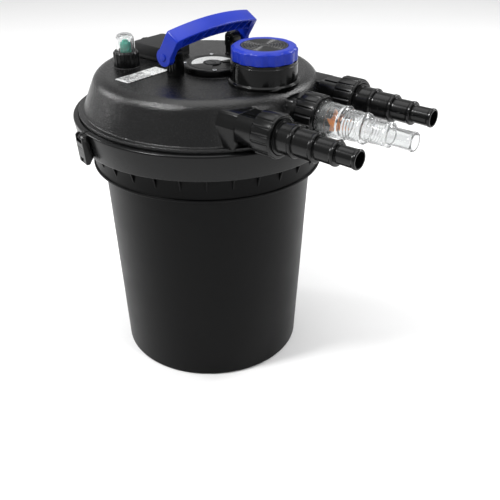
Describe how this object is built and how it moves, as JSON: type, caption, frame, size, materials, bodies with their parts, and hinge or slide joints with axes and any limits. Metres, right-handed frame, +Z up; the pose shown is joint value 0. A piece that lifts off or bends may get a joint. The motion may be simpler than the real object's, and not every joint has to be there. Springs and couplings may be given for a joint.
{
  "type": "pressurized pond filter",
  "caption": "Tapered canister with a clamped domed lid, a row of stepped hose tails on one side, a rotary selector knob, a fold-over carrying handle and a built-in UV clarifier.",
  "frame": {"origin": "middle of the underside of the floor, on the surface the filter stands on", "axes": "+X out along the hose tails, +Y towards the rear hose tail, +Z up"},
  "size_m": [0.5298, 0.3877, 0.5235],
  "materials": {
    "shell": "satin black injection-moulded plastic, finely pebbled on the lid",
    "gloss": "polished black plastic",
    "blue": "royal-blue moulded plastic, semi-gloss",
    "slate": "dark grey plastic",
    "clear": "clear moulded plastic",
    "quartz": "clear fused quartz",
    "rubber": "black rubber",
    "foam": "open-cell filter foam",
    "steel": "stainless steel",
    "green": "turquoise-green moulded plastic",
    "orange": "orange moulded plastic",
    "label": "off-white printed film and ceramic, plain",
    "grey": "light grey moulded plastic"
  },
  "bodies": {
    "filter": {"bucket": "shell", "lid": "shell", "lid_seal": "rubber", "clamp_ring": "shell", "latch_pin": "steel", "flow_spider": "green", "valve_collar": "gloss", "valve_housing": "shell", "uvc_cover": "shell", "uvc_arc_plate": "label", "uvc_cap": "slate", "uvc_body": "shell", "quartz_sleeve": "quartz", "sleeve_nut": "shell", "uvc_lamp": "quartz", "lamp_socket": "label", "gauge_stub": "shell", "gauge_dome": "clear", "ballast_cover": "shell", "ballast_core": "gloss", "cable_gland": "shell", "label_plate": "label", "bottom_grid": "shell", "top_grid": "shell", "strainer_pipe": "shell", "tie_rod_left": "steel", "tie_rod_right": "steel", "port_gasket_front": "rubber", "hose_tail_front": "shell", "port_gasket_middle": "rubber", "hose_tail_middle": "clear", "port_gasket_rear": "rubber", "hose_tail_rear": "shell", "uvc_screw_1": "steel", "foam_1": "foam", "uvc_screw_2": "steel", "foam_2": "foam", "uvc_screw_3": "steel", "foam_3": "foam", "uvc_screw_4": "steel", "foam_4": "foam", "handle_post_left": "shell", "handle_pin_left": "gloss", "handle_post_right": "shell", "handle_pin_right": "gloss"},
    "handle": {"handle": "blue"},
    "selector": {"selector_knob": "blue", "selector_inset": "slate", "valve_rotor": "grey"},
    "latch": {"latch_lever": "shell"},
    "nut_front": {"union_nut_front": "shell"},
    "nut_middle": {"union_nut_middle": "shell"},
    "nut_rear": {"union_nut_rear": "shell"},
    "gauge_cap": {"gauge_nut": "shell"},
    "gauge_piston": {"gauge_float": "green"},
    "rotor": {"flow_rotor": "orange"}
  },
  "joints": [
    {"name": "handle_swing", "type": "hinge", "parent": "filter", "child": "handle", "pos_m": [0, 0, 0.477], "axis": [0, 1, 0], "range_deg": [-121, 58]},
    {"name": "selector_turn", "type": "hinge", "parent": "filter", "child": "selector", "pos_m": [0.1065, 0, 0.48], "axis": [0, 0, 1], "range_deg": [0, 180]},
    {"name": "latch_swing", "type": "hinge", "parent": "filter", "child": "latch", "pos_m": [-0.05408, -0.1886, 0.3834], "axis": [-0.9613, 0.2756, 0], "range_deg": [0, 110]},
    {"name": "nut_front_turn", "type": "hinge", "parent": "filter", "child": "nut_front", "pos_m": [0.19, -0.088, 0.419], "axis": [1, 0, 0], "continuous": true},
    {"name": "nut_middle_turn", "type": "hinge", "parent": "filter", "child": "nut_middle", "pos_m": [0.19, 0, 0.419], "axis": [1, 0, 0], "continuous": true},
    {"name": "nut_rear_turn", "type": "hinge", "parent": "filter", "child": "nut_rear", "pos_m": [0.19, 0.088, 0.419], "axis": [1, 0, 0], "continuous": true},
    {"name": "gauge_cap_turn", "type": "hinge", "parent": "filter", "child": "gauge_cap", "pos_m": [-0.084, -0.073, 0.46], "axis": [0, 0, 1], "continuous": true},
    {"name": "gauge_piston_slide", "type": "slide", "parent": "filter", "child": "gauge_piston", "axis": [0, 0, 1], "range_m": [-0.012, 0.005]},
    {"name": "rotor_spin", "type": "hinge", "parent": "filter", "child": "rotor", "pos_m": [0.225, 0, 0.419], "axis": [1, 0, 0], "continuous": true}
  ]
}
